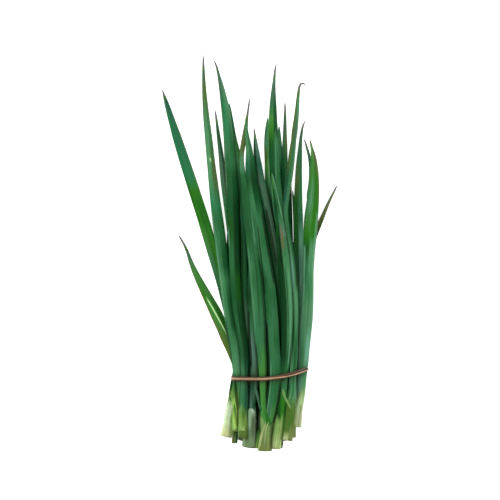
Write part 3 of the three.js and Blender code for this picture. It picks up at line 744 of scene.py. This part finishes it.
leaves["shoot_08"] = [dict(
    tones="45 kelp fern, 58 pale light, 72 light, 85 green pale, 99 light pale, 112 light, 126 light, "
          "139 green, 153 mid green, 168 mid light, 182 forest light, 193 vivid, 207 leafy vivid, "
          "222 light vivid, 245 leafy vivid, 262 leafy olive, 275 lime olive",
    crease=0.1, dry=4, dryKind=0.4, tip="-0.2 1.4, -0.8 3.6", rims="222 276 0 0.9, 150 222 0 0.25",
    lines="104 214 0.85 0.22 0.6 pale, 215 246 -0.3 0.16 0.5 light, 48 184 -0.76 0.28 0.9 pale, "
          "85 150 0.15 0.14 0.4 dark",
    fit="52 -0.2 1, 62 -0.6 1.1, 80 -0.9 1.12, 97 -1.7 1.12, 115 -2.1 1.12, 130 -2.1 1.03, 145 -1.8 0.92, "
        "160 -1.7 0.9, 180 -0.9 0.97, 190 -0.6 1.1, 200 -0.2 1.14, 207 0.3 1.08, 225 1.1 1, 245 1.7 1, "
        "262 2.2 1.05, 270 2.4 1.1, 279 2 1.1"
), dict(
    tones="60 mid dark, 150 light dark, 225 mid light, 255 mid dark, 275 gray", dry=6,
    tip="-0.8 1.8, -1.8 4.2",
    fit="180 0 1, 195 -0.8 1.2, 207 -1 1.2, 216 -0.6 1.1, 223 -0.2 1, 232 0.9 1, 241 1.9 1, 250 2.4 1, "
        "260 2.2 1, 268 1.6 1, 279 0.4 1"
)]
shoots["shoot_09"] = dict(foot=("husk", "kelp"), footUp=30)
leaves["shoot_09"] = [dict(
    tones="81 light, 99 pale, 117 mist pale, 135 green mist, 153 dark mist, 171 dark pale, 189 forest pale, "
          "207 forest blue, 225 forest mid, 245 olive mid, 266 mid, 285 gray",
    dry=8, tip="1 1.6, 2.3 4.4", lines="128 205 0.75 0.28 0.6 pale",
    fit="180 0 1, 195 0.3 1.06, 210 0.2 1.04, 225 0 1, 240 0 1, 250 -0.4 1.05, 265 -0.5 1.1, 285 -0.6 1.2, "
        "300 0.6 1"
), dict(
    tones="180 olive forest, 207 bark olive, 228 slate bark", dry=8, rims="180 240 0.8 0.5",
    fit="120 0 1, 150 -2 0.8, 180 -3 0.8, 195 -2.5 0.9, 207 -1.1 1, 225 -0.3 1.1, 240 0.2 1"
)]
leaves["shoot_10"] = [dict(
    tones="150 dark, 235 pine, 262 pine dark, 280 gray olive, 300 gray", dry=10, tip="-0.1 2.2, -0.3 5.6",
    fit="250 0 1, 275 0.5 1.2, 292 0.4 1.5, 303 0.3 1.5, 310 0.2 1.3"
), dict(
    tones="225 dark, 240 mid light, 256 leafy lime, 266 olive leafy, 277 light, 290 green light, 300 light",
    tip="0 0.8", rims="240 292 0.5 0",
    fit="230 0.5 1.15, 245 0.9 1.1, 262 0.8 1.05, 280 -0.2 1.5, 290 -0.7 1.75, 298 -0.5 1.9"
)]
leaves["shoot_11"] = [dict(
    tones="225 dark blue, 250 mid pine, 266 light mid", tip="0 0.8",
    fit="230 0 1, 245 0.3 1.1, 265 0.8 1.2, 280 0.8 1.5, 290 0.2 1.9"
), dict(
    tones="150 deep, 190 leafy, 220 leafy green", dry=3,
    fit="150 0 1, 180 -0.3 0.9, 195 0.3 0.8, 207 0.5 0.72, 225 0.2 0.8"
)]
# leaves hidden inside the bunch are painted dark all along: painted shade
hiddenLeaf = {"tones": "0 night, 120 pine night", "dry": 6}
leafForm = {"join": 15, "even": 0.35, "plainTip": 1.8, "leastLean": 0.45, "point": 0.7, "pointRun": 2.5,
            "tipReach": 55, "leastWidth": 0.1, "opens": (45, 90),
            "inner": 0.8, "inward": 0.12, "lowShare": 0.28}

skin = leafSkin()
rubber = bandRubber()


def buildLeaf(name, leaf, sheath, depth, look, shoot):
    # from the cut, through the sheath, to the leaf's own sections
    inside = sheath.copy()
    inside[:, 3] *= depth
    beyond = leaf[leaf[:, 0] > sheath[-1, 0] + leafForm["join"] * mm]
    return drawLeaf(name, soften(np.vstack([inside, beyond]), leafForm["even"]), look, shoot)


def drawLeaf(name, knots, look, shoot):
    rows = leafBlank["rows"] * 2
    at = np.linspace(knots[0, 0], knots[-1, 0], rows)
    line = through(knots, at)
    up = (at - bunch["footY"]) / mm
    fit, swing, girth = (numbersOf(table) for table in (look["fit"], shoot["swing"], shoot["girth"]))
    shift = ease(curve(fit, 1, up) + curve(swing, 1, up)) * mm
    path = np.stack([line[:, 0] + shift, at, line[:, 1]], axis=1)
    r = line[:, 2] * ease(curve(fit, 2, up, 1) * curve(girth, 1, up, 1))
    # beyond the last section the leaf runs out to a point
    heading = (path[-1] - path[-6]) / np.linalg.norm(path[-1] - path[-6])
    if look["tip"]:
        ends = path[-1] + [(x * mm, y * mm, heading[2] * y * mm) for x, y in numbersOf(look["tip"])]
    else:
        ends = path[-1:] + heading * leafForm["plainTip"] * mm
    path = np.vstack([path, ends])
    r = np.append(r, np.zeros(len(ends)))
    run = np.concatenate([[0], np.cumsum(np.linalg.norm(np.diff(path, axis=0), axis=1))])
    even = np.linspace(0, run[-1], rows)
    path = np.stack([np.interp(even, run, path[:, i]) for i in range(3)], axis=1)
    path[1:-1] = np.stack([ease(path[:, i], 5) for i in range(3)], axis=1)[1:-1]
    forward = np.gradient(path, axis=0)
    lean = np.abs(forward[:, 1]) / np.hypot(forward[:, 0], forward[:, 1])
    lean = np.clip(lean, leafForm["leastLean"], 1)
    fromTip = (run[-1] - even) / mm
    girth = leafForm["point"] * smooth(0, leafForm["pointRun"], fromTip) + look["taper"] * fromTip
    r = np.interp(even, run, r) * lean
    r = np.where(fromTip < leafForm["tipReach"], np.maximum(r, girth * mm), r)
    r = np.maximum(ease(r, 5), leafForm["leastWidth"] * mm)
    share = even / run[-1]
    seed = random.random()
    roll = np.radians(look["roll"] + look["twist"] * np.sin(share * 5 + seed * 20) * smooth(0.15, 0.5, share))
    # it wraps round at the foot and opens to two flanks above
    keel = look["keel"] * smooth(*leafForm["opens"], (path[:, 1] - bunch["footY"]) / mm)
    depth = r / bunch["flatness"] * bunch["cornerReach"]
    piece, own, placed = layAlong(blankLeaf, name, path, r, depth, roll, look["crease"], keel, shoot["slant"])
    cutUp = (knots[0, 0] - bunch["footY"]) / mm
    markLooks(piece, own, placed, look, shoot, run[-1], seed, cutUp)
    return piece


sheathForm = {"rows": 24, "beyondFork": 2, "width": 0.88}


def buildSheath(name, sheath, look, shoot):
    rows = sheathForm["rows"]
    at = np.linspace(sheath[0, 0], sheath[-1, 0] + sheathForm["beyondFork"] * mm, rows)
    line = through(sheath, at)
    up = (at - bunch["footY"]) / mm
    shift = curve(numbersOf(shoot["swing"]), 1, up) * mm
    path = np.stack([line[:, 0] + shift, at, line[:, 1]], axis=1)
    r = line[:, 2] * sheathForm["width"] * curve(numbersOf(shoot["girth"]), 1, up, 1)
    depth = r / bunch["flatness"] * bunch["cornerReach"]
    piece, own, placed = layAlong(blankSheath, name, path, r, depth, np.zeros(rows), slant=shoot["slant"])
    markLooks(piece, own, placed, {**look, "dry": 0}, shoot, at[-1] - at[0], random.random(), up[0])
    return piece


def joinPieces(pieces, name, node, material):
    deselectAll()
    for piece in pieces:
        piece.select_set(True)
    whole = pieces[0]
    bpy.context.view_layer.objects.active = whole
    if len(pieces) > 1:
        bpy.ops.object.join()
    whole.name = whole.data.name = name
    whole.data.materials.clear()
    whole.data.materials.append(material)
    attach(whole, "root")
    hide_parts(node)


pieces = {}
for nodeName in sorted(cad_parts):
    if not nodeName.startswith("shoot"):
        continue
    blades, sheath = readShoot(nodeName)
    looks = leaves.get(nodeName, [hiddenLeaf] * len(blades))
    # hidden shoots get dusk feet: painted shade
    hidden = {} if nodeName in leaves else {"foot": ("dusk", "dusk")}
    shoot = {**plainShoot, **hidden, **shoots.get(nodeName, {})}
    facesDown = sheath[0, 2] < leafForm["lowShare"] * (cadHigh - cadLow).z
    pieces[nodeName] = []
    for i, (leaf, changes) in enumerate(zip(blades, looks)):
        look = {**plainLeaf, **changes}
        look["roll"] += 180 if facesDown else 0
        depth = 1 if i == shoot["outer"] else leafForm["inner"] - leafForm["inward"] * i
        pieces[nodeName].append(buildLeaf(f"{nodeName}.leaf{i}", leaf, sheath, depth, look, shoot))
    outerLook = {**plainLeaf, **looks[shoot["outer"]]}
    pieces[nodeName].append(buildSheath(f"{nodeName}.sheath", sheath, outerLook, shoot))

stub = {**plainShoot, "foot": ("ash", "dusk"), "footUp": 14}
for nodeName in ("loose_leaf_1", "loose_leaf_2"):
    blades, _ = readShoot(nodeName)
    look = {**plainLeaf, "tones": "0 olive dark, 40 dark night", "dry": 9}
    pieces[nodeName] = [drawLeaf(nodeName + ".leaf", soften(blades[0], leafForm["even"]), look, stub)]
print("leaves laid")

# thin strips of leaf and sheath that lie on the others: (mm to the right, mm up) from end to end
plainStrip = {"lines": "", "lift": 0, "drop": 3, "blunt": 0.7, "cut": 1, "thick": 0.3, "crease": 0.2,
              "footUp": -30, "cutUp": -20}
strips = {
    "tornSheath": dict(
        on="shoot_04", path="1.8 3.2, 1.5 12, 1.2 24, 1 38", wide=3.9, blunt=0.94, lift=0.7, drop=30,
        lines="11 34 0.3 0.6 0.5 0.5 dark, 14 21 -0.2 0.6 0.5 dark, 26 40 -0.5 0.4 0.5 light, "
              "32 37 -0.1 0.35 0.35 dark",
        tones="12 ash, 19 silver ash, 28 silver ash, 37 silver frost"),
    "crossLeaf": dict(
        on="shoot_04", path="10.4 36, 8.9 42, 6.9 50, 5.2 59", wide=1.2, lift=0.5, cut=0,
        tones="35 dark teal, 42 gray blue, 57 slate gray"),
    "greenFoot": dict(
        on="shoot_05", path="6.6 2, 7.8 12, 8.6 22", wide=1.2,
        tones="2 fern moss, 14 vivid moss, 22 night"),
    "paleEdge": dict(
        on="shoot_05", path="7.8 0.5, 9.8 9, 12 19, 15.2 27", wide=1.1, cut=0,
        tones="0 pear bran, 12 bran rind, 27 reed rind"),
    "membrane": dict(
        on="shoot_05", path="13.6 3, 14.4 14, 15.4 21, 17.4 27.5", wide=1, cut=0,
        tones="0 husk olive, 14 rind reed, 28 bran pear"),
    "lightEdge": dict(
        on="shoot_06", path="25.4 2.5, 27.4 14, 29.2 26, 29.6 35", wide=1.2,
        tones="0 bran rind, 20 bran pear, 34 fern leafy"),
    "darkStub": dict(
        on="loose_leaf_2", path="28.6 1.3, 29.6 10, 31.2 22, 31.8 33", wide=1.3, drop=30,
        tones="1 night bark, 5 moss bark, 16 kelp olive, 33 forest night"),
    "sliver": dict(
        on="shoot_07", path="29.6 56, 31.4 48, 34.6 43, 37.6 37", wide=1.2, cut=0,
        tones="36 reed fern, 45 pear reed, 56 lime reed"),
    "shortSliver": dict(
        on="shoot_07", path="37.4 60, 36.6 51, 35.4 44", wide=0.9, cut=0,
        tones="43 fern reed, 56 light mid"),
    "limeEdge": dict(
        on="shoot_02", path="-12.4 19.5, -13.7 27, -13.9 35, -13.2 44", wide=1.6,
        tones="27 sprout zest, 33 zest fern, 38 fern leafy, 44 leafy vivid"),
    "innerSheath": dict(
        on="shoot_03", path="-7 18.2, -7 30, -6.6 44", wide=2.9,
        tones="18 pear bran, 22 pear fern, 32 fern kelp, 44 light leafy"),
    "sideSheath": dict(
        on="shoot_01", path="-15.9 13.5, -16.1 24, -15.6 34", wide=1.5,
        tones="13 husk fern, 22 fern vivid, 34 pear fern"),
    "stubEdge": dict(
        on="loose_leaf_1", path="-14.7 5, -14.1 11, -13.6 18", wide=1.7, drop=30,
        tones="5 bark husk, 12 husk olive, 19 moss olive"),
    "stubShade": dict(
        on="loose_leaf_1", path="-12.2 5.6, -11.6 11, -10.8 18", wide=1.1, drop=30,
        tones="5 dusk night, 19 night forest"),
    "tanEdge": dict(
        on="shoot_08", path="44.6 22, 45.4 33, 46.2 42", wide=1.1,
        tones="22 rind cream, 30 cream, 42 bran fern"),
    "paleFoot": dict(
        on="shoot_07", path="32.2 10.4, 33.2 18, 34.6 27", wide=2.3,
        tones="9 cream straw, 14 rind, 18 kelp moss, 26 kelp vivid"),
    "brownFoot": dict(
        on="shoot_07", path="39.4 12, 40.2 19, 39.8 28", wide=1.3,
        tones="10 bark husk, 20 rind husk, 28 kelp fern"),
    "darkSeam": dict(
        on="shoot_07", path="31.4 20, 31.6 30, 31.8 40", wide=0.8, cut=0,
        tones="20 vivid forest, 40 forest"),
    "darkPatch": dict(
        on="shoot_07", path="36.4 23, 36.4 29, 36.2 35", wide=1.2, cut=0,
        tones="22 vivid moss, 35 moss vivid"),
}


def layStrip(name, strip, ground):
    spots = np.array(numbersOf(strip["path"])) * mm
    steps = np.linspace(0, len(spots) - 1, 40)
    line = np.stack([np.interp(steps, range(len(spots)), spots[:, i]) for i in (0, 1)], axis=1)
    line[1:-1] = np.stack([ease(line[:, i], 9) for i in (0, 1)], axis=1)[1:-1]
    line[:, 1] += bunch["footY"]
    heights = []
    for x, y in line:
        hits = [tree.ray_cast(Vector((x, y, 1)), Vector((0, 0, -1)))[0] for tree in ground]
        heights.append(max([hit.z for hit in hits if hit] or [0.004]) + strip["lift"] * mm)
    heights = np.maximum(heights, max(heights) - strip["drop"] * mm)
    path = np.stack([line[:, 0], line[:, 1], ease(heights, 9)], axis=1)
    length = np.linalg.norm(np.diff(path, axis=0), axis=1).sum()
    share = np.linspace(0, 1, len(path))
    half = strip["wide"] * mm * smooth(-0.15 - strip["cut"], 0.2, share)
    half *= smooth(1.05, strip["blunt"], share)
    flat = share * 0
    thick = half * strip["thick"]
    piece, own, placed = layAlong(blankLeaf, name, path, half, thick, flat, strip["crease"], flat)
    look = {**plainLeaf, "tones": strip["tones"], "lines": strip["lines"]}
    markLooks(piece, own, placed, look, {**plainShoot, "footUp": strip["footUp"]}, length, random.random(),
              strip["cutUp"])
    return piece


found = bpy.context.evaluated_depsgraph_get()
ground = [BVHTree.FromObject(piece, found) for group in pieces.values() for piece in group]
for name, changes in strips.items():
    pieces[changes["on"]].append(layStrip(name, {**plainStrip, **changes}, ground))
for nodeName, group in pieces.items():
    title = nodeName + ("_leaves" if nodeName.startswith("shoot") else "_blade")
    joinPieces(group, title, nodeName, skin)
print("strips laid")


bandForm = {
    "sectionReach": 1.05, "turnGap": 0.5,       # mm, to tell corners and turns apart
    "closer": 0.12, "wider": 1.45, "flatter": 0.85,
    "rightEnd": (42, 53), "pullIn": 1.3,
    "up": 0.5, "climb": (5, 38), "level": (44, 54), "climbBy": 0.9,
    "edge": 0.9, "turnsRight": (20, 36), "offRight": 0.45, "moreRight": 1.15,
}


def bandCenters(mesh):
    # the middle of the section that each corner belongs to, and of the other turn beside it
    net = bmesh.new()
    net.from_mesh(mesh)
    center = {}
    rings = []
    for corner in net.verts:
        if corner in center:
            continue
        ring = [corner]
        for vert in ring:
            for edge in vert.link_edges:
                other = edge.other_vert(vert)
                if edge.calc_length() < bandForm["sectionReach"] * mm and other not in ring:
                    ring.append(other)
        middle = sum((vert.co for vert in ring), Vector()) / len(ring)
        rings.append(middle)
        for vert in ring:
            center[vert] = middle
    partner = {}
    for middle in rings:
        beside = [other for other in rings if abs(other.y - middle.y) > bandForm["turnGap"] * mm]
        partner[middle.freeze()] = min(beside, key=lambda other: (other.xz - middle.xz).length)
    centers = [center[vert].copy() for vert in net.verts]
    partners = [partner[center[vert]].copy() for vert in net.verts]
    net.free()
    return centers, partners


def buildBand():
    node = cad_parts["rubber_band"]
    deselectAll()
    band = node.copy()
    band.data = node.data.copy()
    band.parent = None
    for key in list(band.keys()):
        del band[key]
    band.name = "twoTurnBand"
    bpy.context.scene.collection.objects.link(band)
    band.hide_render = band.hide_viewport = False
    band.select_set(True)
    bpy.context.view_layer.objects.active = band
    bpy.ops.object.mode_set(mode="EDIT")
    bpy.ops.mesh.select_all(action="SELECT")
    bpy.ops.mesh.remove_doubles(threshold=1e-6)
    bpy.ops.mesh.tris_convert_to_quads()
    bpy.ops.object.mode_set(mode="OBJECT")
    centers, partners = bandCenters(band.data)
    for vert, center, partner in zip(band.data.vertices, centers, partners):
        middle = (center.y + partner.y) / 2
        inward = (middle - center.y) * bandForm["closer"]
        vert.co.y = center.y + inward + (vert.co.y - center.y) * bandForm["wider"]
        vert.co += Vector((vert.co.x - center.x, 0, vert.co.z - center.z)) * (bandForm["flatter"] - 1)
        vert.co.x -= float(smooth(*bandForm["rightEnd"], vert.co.x / mm)) * bandForm["pullIn"] * mm
    # place across each turn, for the painted shade on the band's sides, shifted and widened towards the right
    # end
    across = band.data.attributes.new("bandAcross", "FLOAT", "POINT")
    for item, vert, center, partner in zip(across.data, band.data.vertices, centers, partners):
        middle = (center.y + partner.y) / 2
        half = abs(center.y - middle) + bandForm["edge"] * mm
        toRight = float(smooth(*bandForm["turnsRight"], vert.co.x / mm))
        offset = (vert.co.y - middle) / half + bandForm["offRight"] * toRight
        item.value = offset * mix(1, bandForm["moreRight"], toRight)
    for vert in band.data.vertices:
        climb = smooth(*bandForm["climb"], vert.co.x / mm) * (1 - smooth(*bandForm["level"], vert.co.x / mm))
        vert.co.y += float(bandForm["up"] + bandForm["climbBy"] * climb) * mm
    rounding = band.modifiers.new("rounding", "SUBSURF")
    rounding.levels = rounding.render_levels = 2
    bpy.ops.object.modifier_apply(modifier="rounding")
    bpy.ops.object.shade_smooth()
    joinPieces([band], "twoTurnBand", "rubber_band", rubber)


buildBand()
for blank in (blankLeaf, blankSheath):
    bpy.data.objects.remove(blank)
print("band wound")


deselectAll()
bpy.ops.mesh.primitive_plane_add(size=6, location=(0, 0, 0))
floor = bpy.context.object
floor.name = "floor"
floor.data.materials.append(paleFloor())

studio = {
    "world": 0.75,
    "key": {"place": (-0.7, 0.5, 1.3), "size": 1.2, "power": 14},
    "fill": {"place": (0.9, -0.3, 1.1), "size": 1.4, "power": 6},
}
world = bpy.data.worlds.new("studio")
world.use_nodes = True
world.node_tree.nodes["Background"].inputs["Color"].default_value = (1, 1, 1, 1)
world.node_tree.nodes["Background"].inputs["Strength"].default_value = studio["world"]
bpy.context.scene.world = world
for name in ("key", "fill"):
    lamp = studio[name]
    bpy.ops.object.light_add(type="AREA", location=lamp["place"])
    light = bpy.context.object
    light.name = name
    light.data.shape = "DISK"
    light.data.size = lamp["size"]
    light.data.energy = lamp["power"]
    light.rotation_euler = (-Vector(lamp["place"])).to_track_quat("-Z", "Y").to_euler()

view = {"x": 0.4 * mm, "y": 2.5 * mm, "field": 450 * mm, "height": 2.2}
bpy.ops.object.camera_add(location=(view["x"], view["y"], view["height"]), rotation=(0, 0, 0))
camera = bpy.context.object
camera.name = "camera"
camera.data.sensor_width = 36
camera.data.lens = 36 * (view["height"] - bunch["tieZ"]) / view["field"]
camera.data.clip_end = 20
bpy.context.scene.camera = camera
bpy.context.scene.view_settings.view_transform = "Standard"
print("studio ready")
